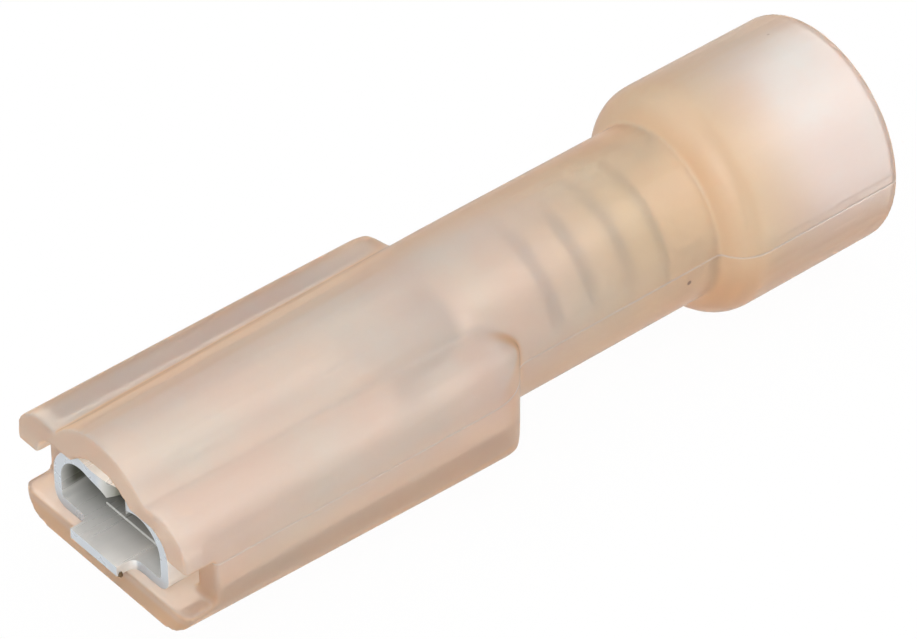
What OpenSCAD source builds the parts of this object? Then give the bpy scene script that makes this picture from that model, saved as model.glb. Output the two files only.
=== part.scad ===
// Fully insulated female spade terminal for a narrow blade.
// A translucent nylon housing holds a receptacle folded from one tin-plated brass sheet.
// The wire comes in from the rear (+Y) and the blade from the front (-Y).
// The origin is the centre of the wire entry's rim, with +Z up. All sizes are in millimetres.

/* [Blade socket] */
// Width of the blade that the receptacle grips
blade_w = 2.8; // [2.6:0.05:3.0]
// Thickness of the blade
blade_t = 0.8; // [0.7:0.05:0.9]
// Clearance on each side of the blade
blade_side_gap = 0.2; // [0.12:0.01:0.25]
// How much the wings close on the blade
grip_squeeze = 0.05; // [0:0.01:0.1]
// Length of the folded box that takes the blade
box_len = 6.0; // [5:0.1:7]
// Outer radius of each rolled wing
wing_r = 0.9; // [0.85:0.01:0.92]
// Angle over the top at which a wing's lip ends
lip_angle = 70; // [60:1:78]
// Corner radius of a wing's lip at the mouth
lip_corner_r = 0.65; // [0.5:0.05:0.7]
// Radius of the detent in the base
detent_r = 0.5; // [0.4:0.05:0.6]
// Height of the detent above the base
detent_h = 0.15; // [0.1:0.01:0.2]
// Distance of the detent behind the box's front edge
detent_inset = 2.9; // [2.4:0.1:3.4]

/* [Sheet metal] */
// Thickness of the brass sheet
sheet_t = 0.24; // [0.22:0.01:0.26]
// Outer bend radius between the base and the side walls
bend_r = 0.35; // [0.3:0.01:0.4]
// Height of the base's underside below the barrel's axis
base_drop = 0.98; // [0.95:0.01:1.0]
// Width of the tongue in front of the base
tongue_w = 1.5; // [1.2:0.05:1.7]
// How far the tongue stands in front of the walls
tongue_len = 0.45; // [0.35:0.05:0.55]
// Fillet radius at the tongue's root
tongue_fillet = 0.2; // [0.1:0.01:0.25]
// Distance of the base's scored bend line behind the box's front edge
score_inset = 0.55; // [0.4:0.01:0.8]
// Length of the scored line
score_len = 1.8; // [1.5:0.05:2.2]
// Width of the scored line
score_w = 0.06; // [0.04:0.01:0.08]

/* [Wire barrel] */
// Outer diameter of the rolled barrel
barrel_od = 2.3; // [2.2:0.02:2.34]
// Length of the barrel
barrel_len = 4.8; // [4.4:0.1:5.2]
// Distance of the barrel's rear end inside the wire entry's rim
barrel_inset = 5.5; // [5.3:0.05:5.7]
// Width of the butt seam along the barrel's top
seam_w = 0.04; // [0.03:0.01:0.06]
// Distance of the first serration groove behind the barrel's front
groove_first = 1.8; // [1.6:0.05:2.0]
// Pitch of the serration grooves
groove_pitch = 1.0; // [0.8:0.05:1.1]
// Number of serration grooves
groove_count = 3; // [2:1:3]
// Width of a serration groove
groove_w = 0.22; // [0.16:0.01:0.26]
// Depth of a serration groove
groove_depth = 0.05; // [0.03:0.01:0.06]
// Length of the open transition between the box and the barrel
transition_len = 2.45; // [2.3:0.05:2.6]
// Height of the transition's low side walls above the base's underside
transition_wall_h = 0.7; // [0.6:0.05:0.8]
// Length over which the transition's edges climb to the barrel's top
transition_rise = 0.9; // [0.6:0.05:1.2]

/* [Housing body] */
// Width of the housing's front body
body_w = 5.46; // [5.4:0.02:5.7]
// Distance of the body's front face from the wire entry's rim
body_front = 18.96; // [18.86:0.01:19.05]
// Length of the body
body_len = 9.16; // [8.9:0.02:9.3]
// Thickness of the body's bottom wall at the mouth
bottom_wall = 0.65; // [0.6:0.01:0.7]
// Angle at which the bottom falls away toward the rear
bottom_draft = 1.6; // [1.0:0.1:2.0]
// Height of the side lobes above the axis
lobe_top = 1.18; // [1.16:0.01:1.25]
// Radius of the lobes' outer corners
lobe_r = 0.8; // [0.7:0.05:0.85]
// Radius of the body's lower corners
low_corner_r = 0.88; // [0.8:0.02:0.96]
// Radius of the body's rear corners as seen from above
rear_side_r = 1.3; // [1.0:0.05:1.5]
// Radius of the body's rear edge at the top
rear_top_r = 1.0; // [0.8:0.05:1.2]
// Radius of the body's rear edge at the bottom
rear_low_r = 1.2; // [0.9:0.05:1.4]
// Radius of the bottom plate's front corners
plate_corner_r = 0.35; // [0.2:0.05:0.45]
// Radius of the lobes' front corners
lobe_front_r = 0.08; // [0.06:0.01:0.14]
// Radius of the hump over the barrel's path at the front face
hump_front_r = 1.85; // [1.75:0.01:1.95]
// Radius of each side slot's inner corners
slot_corner_r = 0.12; // [0.06:0.01:0.2]
// Length of each side slot at the mouth
slot_len = 0.74; // [0.5:0.02:0.9]
// Height of each side slot's top above the axis
slot_top = 0.2; // [0.1:0.02:0.3]

/* [Housing cavity] */
// Clearance between the receptacle's side walls and the housing
cavity_side_gap = 0.23; // [0.15:0.01:0.28]
// Clearance between the rolled wings and the housing
cavity_top_gap = 0.05; // [0.03:0.01:0.08]
// Radius of the cavity's upper corners
cavity_corner_r = 0.5; // [0.3:0.05:0.55]
// Radius of the cavity's lower corners
cavity_low_r = 0.2; // [0.1:0.02:0.25]
// Thickness of the body's rear walls
rear_wall = 0.5; // [0.4:0.05:0.6]
// Radial clearance between the barrel and its bore
barrel_gap = 0.05; // [0.03:0.01:0.06]

/* [Neck and funnel] */
// Outer diameter of the neck
neck_od = 4.0; // [3.9:0.02:4.1]
// Length over which the neck's underside runs out into the body
runout_len = 1.5; // [1.0:0.1:2.0]
// Outer diameter of the funnel
funnel_od = 5.2; // [5.1:0.02:5.4]
// Length of the funnel with its shoulder
funnel_len = 4.5; // [4.4:0.02:4.6]
// Radius of the funnel's shoulder
shoulder_r = 0.85; // [0.7:0.01:0.9]
// Wall of the funnel
funnel_wall = 0.45; // [0.4:0.01:0.5]
// Depth of the funnel's straight bore
funnel_depth = 3.5; // [3.3:0.05:3.6]
// Depth at which the guide cone ends
cone_end = 4.25; // [4.1:0.05:4.4]
// How far the stop behind the barrel stands inside the barrel's outside
stop_ledge = 0.08; // [0.05:0.01:0.1]
// Radius of the rim's outer edge
rim_r = 0.06; // [0.04:0.01:0.1]

/* [Hidden] */
$fn = 96;
EPS = 0.01;
BIG = 30;
// How far the transition's end reaches into the barrel's wall, and how far it stays inside it.
lap = 0.05;
tuck = 0.04;

// Receptacle. Forward distances are counted from the wire entry's rim.
box_half = blade_w / 2 + blade_side_gap + sheet_t;
base_top = sheet_t - base_drop;
lip_z = base_top + blade_t - grip_squeeze;
wing_cx = box_half - wing_r;
wing_cz = lip_z - (wing_r - sheet_t) * cos(lip_angle);
barrel_r = barrel_od / 2;
barrel_bore_r = barrel_r - sheet_t;
barrel_front = barrel_inset + barrel_len;
box_rear = barrel_front + transition_len;
box_front = box_rear + box_len;
low_wall_z = transition_wall_h - base_drop;
detent_sphere_r = (pow(detent_r, 2) + pow(detent_h, 2)) / (2 * detent_h);

// Housing
body_half = body_w / 2;
body_rear = body_front - body_len;
body_bottom = -base_drop - bottom_wall;
rear_bottom = body_bottom - body_len * tan(bottom_draft);
lobe_cx = body_half - lobe_r;
lobe_cz = lobe_top - lobe_r;
neck_r = neck_od / 2;
funnel_r = funnel_od / 2;
cavity_half = box_half + cavity_side_gap;
cavity_top = wing_cz + wing_r + cavity_top_gap;
cavity_rear = body_rear + rear_wall;
bore_r = barrel_r + barrel_gap;
stop_bore_r = barrel_r - stop_ledge;
funnel_bore_r = funnel_r - funnel_wall;

// Turns a shape drawn with z as the distance forward of the rim, and y as height, into place.
module forward_of_rim() {
    rotate([90, 0, 0]) children();
}

// Cutter for one square corner at the origin, leaving a round of radius r in the +x +y quarter.
module corner_cut(r) {
    difference() {
        translate([-EPS, -EPS]) square(r + EPS);
        translate([r, r]) circle(r);
    }
}

// Rectangle from (x0, y0) to (x1, y1), with radius r_low on its lower corners and r_high on its upper.
module rounded_plate(x0, y0, x1, y1, r_low, r_high) {
    difference() {
        translate([x0, y0]) square([x1 - x0, y1 - y0]);
        translate([x0, y0]) corner_cut(r_low);
        translate([x1, y0]) mirror([1, 0]) corner_cut(r_low);
        translate([x0, y1]) mirror([0, 1]) corner_cut(r_high);
        translate([x1, y1]) mirror([0, 1]) mirror([1, 0]) corner_cut(r_high);
    }
}

// Places its children on the right and, mirrored, on the left.
module both_sides() {
    children();
    mirror([1, 0, 0]) children();
}

// ---- Receptacle ----

// Half of the folded box's section: half of the base, the bend, the side wall and the rolled wing.
module box_half_section() {
    translate([-EPS, -base_drop]) square([box_half - bend_r + EPS, sheet_t]);
    translate([box_half - bend_r, bend_r - base_drop]) intersection() {
        difference() {
            circle(bend_r);
            circle(bend_r - sheet_t);
        }
        translate([0, -bend_r]) square(bend_r);
    }
    translate([box_half - sheet_t, bend_r - base_drop])
        square([sheet_t, wing_cz + base_drop - bend_r]);
    translate([wing_cx, wing_cz]) intersection() {
        difference() {
            circle(wing_r);
            circle(wing_r - sheet_t);
        }
        polygon(2 * wing_r * [
            [0, 0], [1, 0], [1, 1], [-1, 1], [-sin(lip_angle), cos(lip_angle)]
        ]);
    }
}

// Rounds off the front corners of the wings' lips, so that the blade finds its way in.
module lip_corner_cutters() {
    both_sides() translate([wing_cx - wing_r * sin(lip_angle), lip_z - blade_t / 2, box_front])
        rotate([-90, 0, 0]) linear_extrude(2 * wing_r) corner_cut(lip_corner_r);
}

// Flat tongue in front of the base, with a fillet on each side of its root.
module tongue() {
    translate([0, -base_drop, box_front]) rotate([-90, 0, 0]) linear_extrude(sheet_t) {
        translate([-tongue_w / 2, -tongue_len]) square([tongue_w, tongue_len + EPS]);
        both_sides() translate([tongue_w / 2, 0]) mirror([0, 1]) difference() {
            translate([-EPS, -EPS]) square(tongue_fillet + EPS);
            translate([tongue_fillet, tongue_fillet]) circle(tongue_fillet);
        }
    }
}

// Domed detent that snaps into the hole of the blade, pressed up from below.
module detent() {
    translate([0, base_top + detent_h - detent_sphere_r, box_front - detent_inset])
        sphere(detent_sphere_r);
}

// Fine scored bend line across the base.
module score_line() {
    translate([0, base_top, box_front - score_inset]) rotate([45, 0, 0])
        cube([score_len, score_w / sqrt(2), score_w / sqrt(2)], center = true);
}

module folded_box() {
    difference() {
        union() {
            translate([0, 0, box_rear]) linear_extrude(box_len) both_sides() box_half_section();
            tongue();
            intersection() {
                detent();
                translate([-BIG / 2, base_top - sheet_t / 2, 0]) cube(BIG);
            }
        }
        lip_corner_cutters();
        score_line();
        translate([0, -sheet_t, 0]) detent();
    }
}

// Thin slice of the channel behind the box, drawn in by inset from its outside.
module channel_slice(inset) {
    half = box_half - inset;
    r = bend_r - inset;
    hull() {
        both_sides() translate([half - r, r + inset - base_drop]) circle(r, $fn = 32);
        translate([-half, wing_cz - EPS]) square([2 * half, EPS]);
    }
}

// Open channel that narrows from the box to the round barrel, with edges that climb to its top.
module transition() {
    difference() {
        hull() {
            translate([0, 0, box_rear]) linear_extrude(EPS) channel_slice(0);
            translate([0, 0, barrel_front - lap]) cylinder(h = EPS, r = barrel_r - tuck, $fn = 32);
        }
        hull() {
            translate([0, 0, box_rear + EPS]) linear_extrude(EPS) channel_slice(sheet_t);
            translate([0, 0, barrel_front - lap - EPS])
                cylinder(h = EPS, r = barrel_bore_r + tuck, $fn = 32);
        }
        rotate([0, -90, 0]) linear_extrude(BIG, center = true) polygon([
            [barrel_front, BIG],
            [barrel_front, barrel_r],
            [barrel_front + transition_rise, low_wall_z],
            [box_rear, low_wall_z],
            [box_rear, BIG]
        ]);
    }
}

// Rings at the serration grooves, from radius r_in to r_out.
module groove_rings(r_in, r_out) {
    for (i = [0 : groove_count - 1])
        translate([0, 0, barrel_front - groove_first - i * groove_pitch - groove_w / 2]) difference() {
            cylinder(h = groove_w, r = r_out);
            translate([0, 0, -EPS]) cylinder(h = groove_w + 2 * EPS, r = r_in);
        }
}

// Rolled barrel with its serrations inside, which show faintly outside.
module barrel() {
    difference() {
        translate([0, 0, barrel_inset]) cylinder(h = barrel_len, r = barrel_r);
        translate([0, 0, barrel_inset - EPS]) cylinder(h = barrel_len + 2 * EPS, r = barrel_bore_r);
        groove_rings(barrel_bore_r - EPS, barrel_bore_r + groove_depth);
        groove_rings(barrel_r - groove_depth, barrel_r + EPS);
    }
}

// Slit for the butt seam along the barrel's top.
module butt_seam() {
    translate([-seam_w / 2, 0, barrel_inset - EPS]) cube([seam_w, BIG, barrel_len + 2 * EPS]);
}

module receptacle_terminal() {
    color([0.84, 0.85, 0.84]) forward_of_rim() {
        folded_box();
        difference() {
            union() {
                transition();
                barrel();
            }
            butt_seam();
        }
    }
}

// ---- Housing ----

// Section of the front body's upper part: flat sides and top joined by round lobes, open downward.
module lobed_section() {
    translate([-body_half, -BIG / 2]) square([2 * body_half, BIG / 2 + lobe_cz]);
    both_sides() translate([lobe_cx, lobe_cz]) circle(lobe_r);
    translate([-lobe_cx, lobe_cz - EPS]) square([2 * lobe_cx, lobe_r + EPS]);
}

// Outline of the body as seen from the right, with x as height and y as distance forward.
module side_outline() {
    difference() {
        translate([-BIG / 2, body_rear]) square([BIG / 2 + lobe_top, body_len]);
        translate([lobe_top, body_rear]) mirror([1, 0]) corner_cut(rear_top_r);
        translate([lobe_top, body_front]) mirror([0, 1]) mirror([1, 0]) corner_cut(lobe_front_r);
        translate([rear_bottom, body_rear]) difference() {
            translate([-BIG, -EPS]) square([BIG + rear_low_r, rear_low_r + EPS]);
            translate([rear_low_r, rear_low_r]) circle(rear_low_r);
            translate([rear_low_r, -1]) square([BIG, BIG]);
        }
    }
}

// Front body: lobed above, rounded at its lower corners along the drafted bottom, and rounded
// off at both ends as seen from above and from the side.
module body_block() {
    intersection() {
        translate([0, 0, body_rear]) linear_extrude(body_len) lobed_section();
        translate([0, body_bottom, body_front]) rotate([-bottom_draft, 0, 0])
            linear_extrude(BIG, center = true)
                rounded_plate(-body_half, 0, body_half, BIG / 2, low_corner_r, EPS);
        rotate([90, 0, 0]) linear_extrude(BIG, center = true)
            rounded_plate(-body_half, body_rear, body_half, body_front, rear_side_r, lobe_front_r);
        rotate([0, -90, 0]) linear_extrude(BIG, center = true) rotate(90) mirror([0, 1])
            side_outline();
    }
}

// Funnel, neck and the hump that carries the neck's round on over the body to the mouth, turned
// about the axis. Their underside runs out into the body along a slope.
module round_body() {
    difference() {
        rotate_extrude() {
            difference() {
                square([funnel_r, funnel_len]);
                translate([funnel_r, 0]) mirror([1, 0]) corner_cut(rim_r);
                translate([funnel_r, funnel_len]) mirror([0, 1]) mirror([1, 0]) corner_cut(shoulder_r);
            }
            polygon([
                [0, 0],
                [neck_r, 0],
                [neck_r, body_rear],
                [hump_front_r, body_front],
                [0, body_front]
            ]);
        }
        rotate([0, -90, 0]) linear_extrude(BIG, center = true) polygon([
            [body_rear, -BIG],
            [body_rear, -1.1 * neck_r],
            [body_rear + runout_len, 0],
            [BIG, 0],
            [BIG, -BIG]
        ]);
    }
}

// Space for the receptacle, with the barrel's path running through its roof and floor.
module receptacle_cavity() {
    translate([0, 0, cavity_rear]) linear_extrude(body_front - cavity_rear + EPS)
        rounded_plate(-cavity_half, -base_drop, cavity_half, cavity_top, cavity_low_r, cavity_corner_r);
    translate([0, 0, barrel_inset]) cylinder(h = body_front - barrel_inset + EPS, r = bore_r);
}

// Wire's way in: the funnel's bore, the guide cone and the bore that stops the barrel.
module wire_way() {
    translate([0, 0, -EPS]) cylinder(h = funnel_depth + EPS, r = funnel_bore_r);
    translate([0, 0, funnel_depth])
        cylinder(h = cone_end - funnel_depth, r1 = funnel_bore_r, r2 = stop_bore_r);
    translate([0, 0, cone_end - EPS]) cylinder(h = barrel_inset - cone_end + 2 * EPS, r = stop_bore_r);
}

// Slots through both side walls at the mouth, down to the cavity's floor.
module side_slots() {
    rotate([0, -90, 0]) linear_extrude(BIG, center = true) rotate(90) mirror([0, 1])
        rounded_plate(-base_drop, body_front - slot_len, slot_top, body_front + slot_len,
                      slot_corner_r, slot_corner_r);
}

// Rounds the two front corners of the bottom plate.
module plate_corners() {
    both_sides() translate([body_half, -base_drop, body_front])
        rotate([90, 0, 0]) linear_extrude(bottom_wall + EPS) mirror([1, 0]) mirror([0, 1])
            corner_cut(plate_corner_r);
}

module insulating_housing() {
    color([0.93, 0.80, 0.73, 0.75]) forward_of_rim() difference() {
        union() {
            body_block();
            round_body();
        }
        receptacle_cavity();
        wire_way();
        side_slots();
        plate_corners();
    }
}

insulating_housing();
receptacle_terminal();
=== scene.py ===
"""Looks of a fully insulated female spade terminal.

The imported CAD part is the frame: a moulded nylon housing and the tin-plated receptacle inside it.
This script softens the housing's edges, gives both pieces their materials, leaves a brown crumb on the
receptacle's tongue, and sets the floor, the lights and the camera. All lengths are in metres.
"""

import math

import bpy
from mathutils import Matrix, Vector


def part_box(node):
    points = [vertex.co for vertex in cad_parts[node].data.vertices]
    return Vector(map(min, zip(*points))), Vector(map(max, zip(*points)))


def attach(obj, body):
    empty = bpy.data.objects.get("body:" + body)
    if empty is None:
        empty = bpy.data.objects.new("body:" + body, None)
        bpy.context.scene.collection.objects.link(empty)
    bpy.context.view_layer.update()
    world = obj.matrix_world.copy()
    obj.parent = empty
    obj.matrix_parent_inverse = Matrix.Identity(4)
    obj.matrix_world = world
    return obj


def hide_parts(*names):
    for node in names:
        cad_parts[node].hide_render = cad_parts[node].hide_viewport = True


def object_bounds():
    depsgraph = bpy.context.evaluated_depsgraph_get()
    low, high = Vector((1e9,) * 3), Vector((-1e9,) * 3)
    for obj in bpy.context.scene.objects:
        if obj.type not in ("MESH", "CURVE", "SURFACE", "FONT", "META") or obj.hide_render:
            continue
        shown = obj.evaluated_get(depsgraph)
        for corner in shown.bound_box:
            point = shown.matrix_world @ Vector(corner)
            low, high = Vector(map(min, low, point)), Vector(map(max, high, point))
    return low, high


MM = 0.001

# Colours
NYLON_PALE = (0.92, 0.90, 0.88, 1)
NYLON_PINK = (0.95, 0.84, 0.80, 1)
# Painted amber shade for the nylon's low edges, end faces and silhouettes
NYLON_AMBER_SHADE = (0.90, 0.61, 0.36, 1)
NYLON_HONEY = (0.93, 0.80, 0.58, 1)
# Painted highlight along the parting line
PARTING_HIGHLIGHT = (1.0, 0.98, 0.96, 1)
SPECK = (0.30, 0.20, 0.14, 1)
TIN_GREY = (0.91, 0.91, 0.89, 1)
TIN_LIGHT = (0.98, 0.98, 0.96, 1)
TIN_WARM = (0.78, 0.77, 0.68, 1)
# Painted shade at the barrel's serration rings
TIN_SHADE = (0.22, 0.19, 0.14, 1)
# Painted shade inside the socket
TIN_DEEP_SHADE = (0.11, 0.11, 0.075, 1)
TIN_EDGE = (0.54, 0.58, 0.62, 1)
CRUMB_BROWN = (0.20, 0.12, 0.05, 1)
NYLON_VEIL = (0.72, 0.64, 0.58, 1)
NYLON_DEPTH = (0.90, 0.60, 0.12, 1)
FLOOR_GREY = (0.9, 0.9, 0.9, 1)

# How fine the noise is in each finish, in features per metre
CLOUD_SCALE = 420
WAVE_SCALE = 700
STREAK_SCALE = 3000.0
CRUMB_SCALE = 9000

# Height at which the mould's halves meet, above the barrel's axis, and half the line's width
PARTING_Z = 0.1 * MM
PARTING_HALF = 0.045 * MM

# Heights between which painted amber shade grows toward the nylon's low edges, and again in the bottom
# plate
LOW_FROM_Z = 0.5 * MM
LOW_TO_Z = -1.4 * MM
PLATE_Z = -0.95 * MM
PLATE_FULL_Z = -1.3 * MM

# Heights between which the socket's floor gives way to its walls
WALL_FROM_Z = -0.7 * MM
WALL_Z = -0.45 * MM

# Softened housing: size of its mesh, its number of faces, how far along Y its rear is domed, the radius
# round the axis that the doming leaves alone, and the rounds of smoothing
VOXEL = 0.06 * MM
FACE_LIMIT = 180_000
REAR_SOFT_HALF = 0.5 * MM
REAR_SOFT_FADE = 1.2 * MM
CORE_R = 1.6 * MM
DOME_ROUNDS = 40
EDGE_ROUNDS = 4

# Distance within which the loose corners of a CAD mesh are joined
WELD = 0.0005 * MM

# Crumb on the tongue: its radius, how ragged it is, and how it is flattened
CRUMB_R = 0.08 * MM
CRUMB_RAGGED = 0.3
CRUMB_SHAPE = (1.0, 0.7, 0.8)

# Studio: width of the floor, share of its look that is glow, and strengths of the surround
FLOOR_WIDTH = 2.0
FLOOR_GLOW = 0.97
FILL = 0.7
BACKDROP = 1.0

# Softboxes: name, azimuth and elevation in degrees, width in metres, watts
SOFTBOXES = (
    ("top_light", -40, 65, 0.6, 0.55),
    ("front_light", 38, 42, 0.25, 0.42),
    ("back_light", 140, 50, 0.25, 0.22),
)
SOFTBOX_DISTANCE = 0.4

# Camera: where it looks from in degrees, what it looks at, and its lens in millimetres
CAMERA_AZIMUTH = 50.28
CAMERA_ELEVATION = 40.09
CAMERA_ROLL = -0.482
CAMERA_TARGET = Vector((0.00185, -9.829, 0)) * MM
CAMERA_DISTANCE = 0.11604
LENS = 223.87
SENSOR = 36

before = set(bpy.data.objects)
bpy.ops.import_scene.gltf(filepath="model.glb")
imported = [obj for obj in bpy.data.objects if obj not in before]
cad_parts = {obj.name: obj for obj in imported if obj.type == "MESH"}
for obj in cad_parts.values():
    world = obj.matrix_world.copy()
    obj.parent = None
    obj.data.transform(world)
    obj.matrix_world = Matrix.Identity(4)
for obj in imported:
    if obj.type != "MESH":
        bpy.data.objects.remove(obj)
cad_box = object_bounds()
bpy.ops.object.select_all(action="DESELECT")

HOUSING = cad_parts["insulating_housing"]
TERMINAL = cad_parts["receptacle_terminal"]

# Places along the part, forward to -Y, from the ends of the two CAD pieces
BODY_FRONT_Y, RIM_Y = (corner.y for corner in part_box("insulating_housing"))
TONGUE_Y, BARREL_REAR_Y = (corner.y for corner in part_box("receptacle_terminal"))
MOUTH_Y = TONGUE_Y + 0.45 * MM
BOX_REAR_Y = MOUTH_Y + 6.0 * MM
BODY_REAR_Y = BODY_FRONT_Y + 9.16 * MM
REAR_SOFT_Y = BODY_REAR_Y - 0.4 * MM
BARREL_FRONT_Y = BARREL_REAR_Y - 4.8 * MM
HONEY_FULL_Y = BARREL_REAR_Y + 0.3 * MM
HONEY_FADE_Y = RIM_Y - 4.0 * MM
HONEY_END_Y = RIM_Y - 1.6 * MM
CRUMB_PLACE = Vector((0.73 * MM, TONGUE_Y + CRUMB_R, -0.97 * MM))

# One of the barrel's serrations, and their pitch
RING_Y = BARREL_REAR_Y - 3.0 * MM
RING_PITCH = 1.0 * MM


# ---- Node helpers ----


def new_material(name):
    """A new material; returns it with its node tree and its Principled shader."""
    material = bpy.data.materials.new(name)
    material.use_nodes = True
    tree = material.node_tree
    shader = tree.nodes["Principled BSDF"]
    return material, tree, shader


def add(tree, kind, **settings):
    """Adds a node and sets its properties by name."""
    node = tree.nodes.new(kind)
    for key, value in settings.items():
        setattr(node, key, value)
    return node


def plug(tree, socket, source):
    """Links an output to a socket, or writes a plain value on it."""
    if isinstance(source, bpy.types.NodeSocket):
        tree.links.new(source, socket)
    else:
        socket.default_value = source


def maths(tree, operation, *sources):
    """A maths node on values or outputs; returns its output."""
    node = add(tree, "ShaderNodeMath", operation=operation)
    for socket, source in zip(node.inputs, sources):
        plug(tree, socket, source)
    return node.outputs[0]


def ramp(tree, value, low, high, to_low, to_high):
    """Value carried smoothly from the range low to high to the range to_low to to_high."""
    node = add(tree, "ShaderNodeMapRange", interpolation_type="SMOOTHSTEP")
    for label, source in (("Value", value), ("From Min", low), ("From Max", high),
                          ("To Min", to_low), ("To Max", to_high)):
        plug(tree, node.inputs[label], source)
    return node.outputs["Result"]


def blend(tree, share, first, second):
    """Two colours mixed by a share; returns the colour."""
    node = add(tree, "ShaderNodeMix", data_type="RGBA")
    plug(tree, node.inputs["Factor"], share)
    for label, source in (("A", first), ("B", second)):
        socket = next(i for i in node.inputs if i.name == label and i.type == "RGBA")
        plug(tree, socket, source)
    return next(o for o in node.outputs if o.type == "RGBA")


def noise(tree, vector, scale, detail=2.0):
    """A noise texture; returns its value output."""
    node = add(tree, "ShaderNodeTexNoise")
    node.inputs["Detail"].default_value = detail
    plug(tree, node.inputs["Scale"], scale)
    tree.links.new(vector, node.inputs["Vector"])
    return node.outputs["Fac"]


def axes(tree, vector):
    """The parts of a vector, as outputs named X, Y and Z."""
    node = add(tree, "ShaderNodeSeparateXYZ")
    tree.links.new(vector, node.inputs[0])
    return node.outputs


def bump(tree, height, strength, distance):
    """A bump from a height; returns its normal."""
    node = add(tree, "ShaderNodeBump")
    node.inputs["Strength"].default_value = strength
    node.inputs["Distance"].default_value = distance
    tree.links.new(height, node.inputs["Height"])
    return node.outputs["Normal"]


def mix_shaders(tree, share, first, second):
    """Two shaders mixed by a share; returns the shader."""
    node = add(tree, "ShaderNodeMixShader")
    for socket, source in zip(node.inputs, (share, first, second)):
        tree.links.new(source, socket)
    return node.outputs["Shader"]


def new_group(name, inputs, outputs):
    """A node group with named sockets; returns its tree, what it is given and where results go."""
    tree = bpy.data.node_groups.new(name, "ShaderNodeTree")
    for label, kind in inputs:
        tree.interface.new_socket(label, in_out="INPUT", socket_type="NodeSocket" + kind)
    for label, kind in outputs:
        tree.interface.new_socket(label, in_out="OUTPUT", socket_type="NodeSocket" + kind)
    return tree, add(tree, "NodeGroupInput").outputs, add(tree, "NodeGroupOutput").inputs


def use_group(tree, group, **sources):
    """Places a group in a material, fed by name; returns its outputs."""
    node = add(tree, "ShaderNodeGroup", node_tree=group)
    for label, source in sources.items():
        plug(tree, node.inputs[label.replace("_", " ")], source)
    return node.outputs


# ---- Shared effects ----


def parting_line_group():
    """Mask of the thin line that the mould's two halves leave at one height."""
    tree, given, result = new_group(
        "parting_line", [("Place", "Vector"), ("Height", "Float"), ("Half Width", "Float")],
        [("Mask", "Float")])
    height = axes(tree, given["Place"])["Z"]
    off = maths(tree, "ABSOLUTE", maths(tree, "SUBTRACT", height, given["Height"]))
    tree.links.new(ramp(tree, off, 0.0, given["Half Width"], 1.0, 0.0), result["Mask"])
    return tree


def specks_group():
    """Mask of a few small round specks strewn through the surface."""
    tree, given, result = new_group(
        "specks", [("Place", "Vector"), ("Density", "Float"), ("Size", "Float"), ("Share", "Float")],
        [("Mask", "Float")])
    cells = add(tree, "ShaderNodeTexVoronoi")
    tree.links.new(given["Place"], cells.inputs["Vector"])
    tree.links.new(given["Density"], cells.inputs["Scale"])
    pick = add(tree, "ShaderNodeSeparateColor")
    tree.links.new(cells.outputs["Color"], pick.inputs[0])
    chosen = maths(tree, "LESS_THAN", pick.outputs[0], given["Share"])
    spot = ramp(tree, cells.outputs["Distance"], maths(tree, "MULTIPLY", given["Size"], 0.5),
                given["Size"], 1.0, 0.0)
    tree.links.new(maths(tree, "MULTIPLY", chosen, spot), result["Mask"])
    return tree


def honey_group():
    """Share of the honey tint that grows along the neck to the solid ring under the funnel."""
    tree, given, result = new_group("honey_tint", [("Place", "Vector")], [("Mask", "Float")])
    along = axes(tree, given["Place"])["Y"]
    grow = ramp(tree, along, BODY_REAR_Y, HONEY_FULL_Y, 0.1, 0.8)
    fade = ramp(tree, along, HONEY_FADE_Y, HONEY_END_Y, 1.0, 0.0)
    tree.links.new(maths(tree, "MULTIPLY", grow, fade), result["Mask"])
    return tree


def amber_shade_group():
    """Mask of painted amber shade where light crosses much nylon: its end faces and its low edges."""
    tree, given, result = new_group(
        "painted_amber_shade", [("Place", "Vector"), ("Normal", "Vector"), ("Low From", "Float"),
                       ("Low To", "Float")],
        [("Mask", "Float")])
    place = axes(tree, given["Place"])
    normal = axes(tree, given["Normal"])
    end = ramp(tree, maths(tree, "ABSOLUTE", normal["Y"]), 0.5, 0.95, 0.0, 0.3)
    low = ramp(tree, place["Z"], given["Low To"], given["Low From"], 0.95, 0.0)
    behind_body = ramp(tree, place["Y"], BODY_REAR_Y - 0.6 * MM, BODY_REAR_Y + 0.4 * MM, 0.65, 1.0)
    plate = ramp(tree, place["Z"], PLATE_FULL_Z, PLATE_Z, 1.0, 0.0)
    low = maths(tree, "MAXIMUM", maths(tree, "MULTIPLY", low, behind_body), plate)
    upward = ramp(tree, normal["Z"], 0.6, 0.95, 1.0, 0.3)
    tree.links.new(maths(tree, "MAXIMUM", end, maths(tree, "MULTIPLY", low, upward)), result["Mask"])
    return tree


def streaks_group():
    """Value that varies in long thin streaks along Y, as rolled sheet does."""
    tree, given, result = new_group(
        "rolling_streaks", [("Place", "Vector"), ("Scale", "Float"), ("Stretch", "Vector")],
        [("Value", "Float")])
    drawn = add(tree, "ShaderNodeVectorMath", operation="MULTIPLY")
    tree.links.new(given["Place"], drawn.inputs[0])
    tree.links.new(given["Stretch"], drawn.inputs[1])
    tree.links.new(noise(tree, drawn.outputs[0], given["Scale"]), result["Value"])
    return tree


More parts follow.
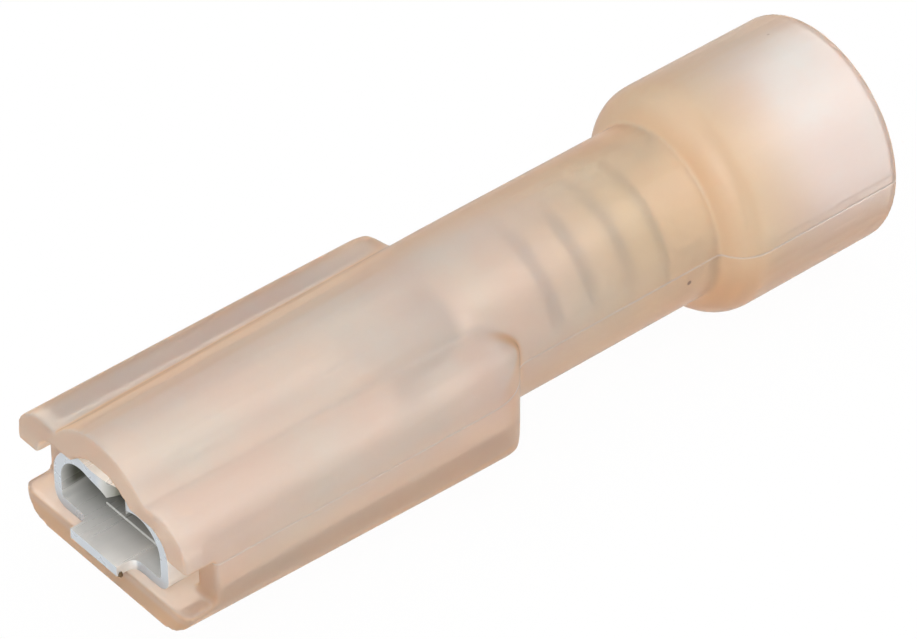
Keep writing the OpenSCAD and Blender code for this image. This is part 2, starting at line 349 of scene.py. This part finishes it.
def rings_group():
    """Masks along the receptacle: its barrel, and rings of painted shade at the barrel's serrations."""
    tree, given, result = new_group(
        "barrel_rings", [("Place", "Vector")], [("Barrel", "Float"), ("Rings", "Float")])
    along = axes(tree, given["Place"])["Y"]
    barrel = ramp(tree, along, BARREL_FRONT_Y - 0.1 * MM, BARREL_FRONT_Y + 0.2 * MM, 0.0, 1.0)
    turns = maths(tree, "MULTIPLY", maths(tree, "SUBTRACT", along, RING_Y), 2 * math.pi / RING_PITCH)
    near_ring = ramp(tree, maths(tree, "COSINE", turns), 0.1, 0.85, 0.0, 0.95)
    from_first = ramp(tree, along, RING_Y - 0.6 * RING_PITCH, RING_Y - 0.4 * RING_PITCH, 0.0, 1.0)
    tree.links.new(barrel, result["Barrel"])
    tree.links.new(maths(tree, "MULTIPLY", near_ring, from_first), result["Rings"])
    return tree


def inner_shade_group():
    """Mask of painted shade on the socket's inside: its walls from the mouth on, and its floor deeper
    in.
    """
    tree, given, result = new_group(
        "inner_shade", [("Place", "Vector"), ("Normal", "Vector")], [("Mask", "Float")])
    toward_axis = add(tree, "ShaderNodeVectorMath", operation="MULTIPLY")
    toward_axis.inputs[1].default_value = (-1, 0, -1)
    tree.links.new(given["Place"], toward_axis.inputs[0])
    facing = add(tree, "ShaderNodeVectorMath", operation="DOT_PRODUCT")
    tree.links.new(toward_axis.outputs[0], facing.inputs[0])
    tree.links.new(given["Normal"], facing.inputs[1])
    inner = ramp(tree, facing.outputs["Value"], 0.0, 0.1 * MM, 0.0, 1.0)
    place = axes(tree, given["Place"])
    along = place["Y"]
    wall = maths(tree, "MULTIPLY", ramp(tree, place["Z"], WALL_FROM_Z, WALL_Z, 0.0, 0.95),
                 ramp(tree, along, MOUTH_Y - 0.1 * MM, MOUTH_Y + 0.4 * MM, 0.0, 1.0))
    floor = ramp(tree, along, MOUTH_Y + 0.05 * MM, MOUTH_Y + 1.2 * MM, 0.0, 0.92)
    shade = maths(tree, "MULTIPLY", inner, maths(tree, "MAXIMUM", wall, floor))
    in_box = ramp(tree, along, BOX_REAR_Y - 0.5 * MM, BOX_REAR_Y, 1.0, 0.3)
    tree.links.new(maths(tree, "MULTIPLY", shade, in_box), result["Mask"])
    return tree


# ---- Nylon ----


def nylon():
    """Milky flesh-coloured nylon: clear enough to show the metal, with painted amber shade on its low
    edges, end faces and silhouettes, and a painted highlight on its parting line.
    """
    material, tree, shader = new_material("flesh_nylon")
    place = add(tree, "ShaderNodeTexCoord").outputs["Object"]
    cloud = noise(tree, place, CLOUD_SCALE, detail=3)
    body = blend(tree, ramp(tree, cloud, 0.35, 0.65, 0.0, 1.0), NYLON_PALE, NYLON_PINK)
    honey = use_group(tree, honey_group(), Place=place)["Mask"]
    body = blend(tree, honey, body, NYLON_HONEY)
    specks = use_group(tree, specks_group(), Place=place, Density=620.0, Size=0.045, Share=0.7)["Mask"]
    normal = add(tree, "ShaderNodeNewGeometry").outputs["Normal"]
    # Painted amber shade: warmer, darker colour on the low edges, the bottom plate and the end faces
    amber_shade = use_group(tree, amber_shade_group(), Place=place, Normal=normal,
                      Low_From=LOW_FROM_Z, Low_To=LOW_TO_Z)["Mask"]
    facing = add(tree, "ShaderNodeLayerWeight")
    facing.inputs["Blend"].default_value = 0.5
    # Painted amber glow at the silhouettes, where the view grazes the nylon
    painted_rim_amber = ramp(tree, facing.outputs["Facing"], 0.3, 0.85, 0.0, 0.9)
    body = blend(tree, maths(tree, "MAXIMUM", amber_shade, painted_rim_amber), body, NYLON_AMBER_SHADE)
    line = use_group(tree, parting_line_group(), Place=place, Height=PARTING_Z,
                     Half_Width=PARTING_HALF)["Mask"]
    # Painted highlight on the parting line's ridge; the ridge's shape is the bump below
    body = blend(tree, maths(tree, "MULTIPLY", line, 0.95), body, PARTING_HIGHLIGHT)
    tree.links.new(blend(tree, specks, body, SPECK), shader.inputs["Base Color"])
    shader.inputs["Roughness"].default_value = 0.34
    shader.inputs["IOR"].default_value = 1.53
    shader.inputs["Specular IOR Level"].default_value = 0.4
    shader.inputs["Transmission Weight"].default_value = 0.7
    shader.subsurface_method = "BURLEY"
    shader.inputs["Subsurface Weight"].default_value = 1.0
    shader.inputs["Subsurface Radius"].default_value = (1.0, 0.6, 0.4)
    shader.inputs["Subsurface Scale"].default_value = 0.5 * MM
    waves = noise(tree, place, WAVE_SCALE)
    height = maths(tree, "ADD", waves, maths(tree, "MULTIPLY", line, 0.7))
    tree.links.new(bump(tree, height, 1.0, 0.02 * MM), shader.inputs["Normal"])
    veil = add(tree, "ShaderNodeBsdfTransparent")
    veil.inputs["Color"].default_value = NYLON_VEIL
    shadow = add(tree, "ShaderNodeLightPath").outputs["Is Shadow Ray"]
    surface = mix_shaders(tree, shadow, shader.outputs["BSDF"], veil.outputs["BSDF"])
    depth = add(tree, "ShaderNodeVolumeAbsorption")
    depth.inputs["Color"].default_value = NYLON_DEPTH
    depth.inputs["Density"].default_value = 190
    output = tree.nodes["Material Output"]
    tree.links.new(surface, output.inputs["Surface"])
    tree.links.new(depth.outputs["Volume"], output.inputs["Volume"])
    return material


# ---- Tin plate ----


def tin_plate():
    """Tin-plated brass sheet: light grey with a soft shine and faint rolling streaks, with painted
    shade inside the socket and at the barrel's rings.
    """
    material, tree, shader = new_material("tin_plate")
    place = add(tree, "ShaderNodeTexCoord").outputs["Object"]
    streaks = use_group(tree, streaks_group(), Place=place, Scale=STREAK_SCALE,
                        Stretch=(1.0, 0.08, 1.0))["Value"]
    colour = blend(tree, ramp(tree, streaks, 0.3, 0.7, 0.0, 1.0), TIN_GREY, TIN_LIGHT)
    barrel = use_group(tree, rings_group(), Place=place)
    normal = add(tree, "ShaderNodeNewGeometry").outputs["Normal"]
    inner = use_group(tree, inner_shade_group(), Place=place, Normal=normal)["Mask"]
    # Painted shade on the socket's inner walls and deeper floor
    colour = blend(tree, inner, colour, TIN_DEEP_SHADE)
    colour = blend(tree, barrel["Barrel"], colour, TIN_WARM)
    # Painted shade in the serration grooves
    colour = blend(tree, barrel["Rings"], colour, TIN_SHADE)
    cut = ramp(tree, maths(tree, "ABSOLUTE", axes(tree, normal)["Y"]), 0.8, 0.95, 0.0, 1.0)
    colour = blend(tree, cut, colour, TIN_EDGE)
    tree.links.new(colour, shader.inputs["Base Color"])
    tree.links.new(ramp(tree, streaks, 0.3, 0.7, 0.36, 0.26), shader.inputs["Roughness"])
    shader.inputs["Metallic"].default_value = 0.45
    tree.links.new(bump(tree, streaks, 0.15, 0.004 * MM), shader.inputs["Normal"])
    return material


# ---- Crumb ----


def burnt_crumb():
    """Matt dark brown, unevenly burnt."""
    material, tree, shader = new_material("burnt_crumb")
    place = add(tree, "ShaderNodeTexCoord").outputs["Object"]
    grain = noise(tree, place, CRUMB_SCALE)
    darker = (*[0.6 * c for c in CRUMB_BROWN[:3]], 1)
    tree.links.new(blend(tree, grain, CRUMB_BROWN, darker), shader.inputs["Base Color"])
    shader.inputs["Roughness"].default_value = 0.7
    return material


# ---- Pieces ----


def dress(piece, material):
    """Puts one material on a piece."""
    piece.data.materials.clear()
    piece.data.materials.append(material)


def place_piece(piece, material):
    """Dresses a new piece and puts it on the one body."""
    dress(piece, material)
    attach(piece, "root")
    piece.select_set(False)


def merged_copy(node, name):
    """A copy of a CAD node with its loose triangles joined, left selected and active."""
    piece = node.copy()
    piece.data = node.data.copy()
    piece.name = name
    bpy.context.scene.collection.objects.link(piece)
    bpy.ops.object.select_all(action="DESELECT")
    piece.select_set(True)
    bpy.context.view_layer.objects.active = piece
    bpy.ops.object.mode_set(mode="EDIT")
    bpy.ops.mesh.select_all(action="SELECT")
    bpy.ops.mesh.remove_doubles(threshold=WELD)
    bpy.ops.object.mode_set(mode="OBJECT")
    return piece


def soft_housing():
    """The moulded housing with all its edges eased, and its rear corners domed."""
    piece = merged_copy(HOUSING, "soft_housing")
    remesh = piece.modifiers.new("even_mesh", "REMESH")
    remesh.mode = "VOXEL"
    remesh.voxel_size = VOXEL
    bpy.ops.object.modifier_apply(modifier=remesh.name)
    rear = piece.vertex_groups.new(name="rear_of_body")
    for vertex in piece.data.vertices:
        off = max(0.0, abs(vertex.co.y - REAR_SOFT_Y) - REAR_SOFT_HALF) / REAR_SOFT_FADE
        if off < 1 and math.hypot(vertex.co.x, vertex.co.z) > CORE_R:
            rear.add([vertex.index], 1 - off * off * (3 - 2 * off), "REPLACE")
    for name, group, rounds in (("rear_domes", rear.name, DOME_ROUNDS),
                                ("eased_edges", "", EDGE_ROUNDS)):
        smooth = piece.modifiers.new(name, "SMOOTH")
        smooth.factor = 0.5
        smooth.iterations = rounds
        smooth.vertex_group = group
        bpy.ops.object.modifier_apply(modifier=smooth.name)
    thin = piece.modifiers.new("fewer_faces", "DECIMATE")
    thin.ratio = min(1.0, FACE_LIMIT / (2 * len(piece.data.polygons)))
    bpy.ops.object.modifier_apply(modifier=thin.name)
    bpy.ops.object.shade_smooth()
    place_piece(piece, nylon())
    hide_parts("insulating_housing")


def tongue_burr():
    """The ragged crumb on the front right corner of the tongue."""
    bpy.ops.mesh.primitive_ico_sphere_add(subdivisions=3, radius=CRUMB_R)
    piece = bpy.context.object
    piece.name = "tongue_burr"
    bpy.ops.object.mode_set(mode="EDIT")
    bpy.ops.transform.vertex_random(offset=CRUMB_R * CRUMB_RAGGED, seed=4, wait_for_input=False)
    bpy.ops.transform.resize(value=CRUMB_SHAPE)
    bpy.ops.transform.translate(value=CRUMB_PLACE)
    bpy.ops.object.mode_set(mode="OBJECT")
    bpy.ops.object.shade_smooth()
    place_piece(piece, burnt_crumb())


# ---- Studio ----


def studio_floor():
    """A wide pale floor under the part. It looks white, and keeps a soft shadow."""
    bpy.ops.mesh.primitive_plane_add(size=FLOOR_WIDTH, location=(0, 0, cad_box[0].z))
    floor = bpy.context.object
    floor.name = "studio_floor"
    material, tree, shader = new_material("pale_floor")
    shader.inputs["Base Color"].default_value = FLOOR_GREY
    shader.inputs["Roughness"].default_value = 0.9
    light = add(tree, "ShaderNodeEmission")
    light.inputs["Strength"].default_value = 1.0
    path = add(tree, "ShaderNodeLightPath").outputs
    seen = maths(tree, "MAXIMUM", path["Is Camera Ray"], path["Is Glossy Ray"])
    seen = maths(tree, "MAXIMUM", seen, path["Is Transmission Ray"])
    share = maths(tree, "MULTIPLY", seen, FLOOR_GLOW)
    surface = mix_shaders(tree, share, shader.outputs["BSDF"], light.outputs["Emission"])
    tree.links.new(surface, tree.nodes["Material Output"].inputs["Surface"])
    floor.data.materials.append(material)


def studio_world():
    """An even white surround: white to the eye, and a softer fill as light."""
    world = bpy.data.worlds.new("studio")
    bpy.context.scene.world = world
    world.use_nodes = True
    tree = world.node_tree
    background = tree.nodes["Background"]
    background.inputs["Color"].default_value = (1, 1, 1, 1)
    path = add(tree, "ShaderNodeLightPath")
    strength = add(tree, "ShaderNodeMapRange")
    strength.inputs["To Min"].default_value = FILL
    strength.inputs["To Max"].default_value = BACKDROP
    tree.links.new(path.outputs["Is Camera Ray"], strength.inputs["Value"])
    tree.links.new(strength.outputs["Result"], background.inputs["Strength"])


def outward(azimuth, elevation):
    """Direction from the part to where it is seen from: azimuth round from -Y, both in radians."""
    return Vector((
        math.sin(azimuth) * math.cos(elevation),
        -math.cos(azimuth) * math.cos(elevation),
        math.sin(elevation),
    ))


def softbox(name, azimuth, elevation, size, power):
    """A round area light aimed at the part's middle, placed by its azimuth and elevation."""
    back = outward(math.radians(azimuth), math.radians(elevation))
    lamp = bpy.data.lights.new(name, "AREA")
    lamp.shape = "DISK"
    lamp.size = size
    lamp.energy = power
    holder = bpy.data.objects.new(name, lamp)
    holder.location = (cad_box[0] + cad_box[1]) / 2 + back * SOFTBOX_DISTANCE
    holder.rotation_mode = "QUATERNION"
    holder.rotation_quaternion = (-back).to_track_quat("-Z", "Y")
    bpy.context.scene.collection.objects.link(holder)


def camera():
    """A long lens from the front right and above, as in a catalogue view."""
    azimuth, elevation, roll = (
        math.radians(x) for x in (CAMERA_AZIMUTH, CAMERA_ELEVATION, CAMERA_ROLL))
    back = outward(azimuth, elevation)
    right = Vector((math.cos(azimuth), math.sin(azimuth), 0))
    up = back.cross(right)
    turned = right * math.cos(roll) + up * math.sin(roll)
    upright = up * math.cos(roll) - right * math.sin(roll)
    data = bpy.data.cameras.new("camera")
    data.sensor_width = SENSOR
    data.lens = LENS
    data.clip_start = 0.001
    data.clip_end = 10
    seat = bpy.data.objects.new("camera", data)
    turn = Matrix((turned, upright, back)).transposed()
    seat.matrix_world = Matrix.Translation(CAMERA_TARGET + back * CAMERA_DISTANCE) @ turn.to_4x4()
    bpy.context.scene.collection.objects.link(seat)
    bpy.context.scene.camera = seat


camera()
studio_floor()
studio_world()
for light in SOFTBOXES:
    softbox(*light)
soft_housing()
dress(TERMINAL, tin_plate())
tongue_burr()
bpy.context.scene.view_settings.view_transform = "Standard"
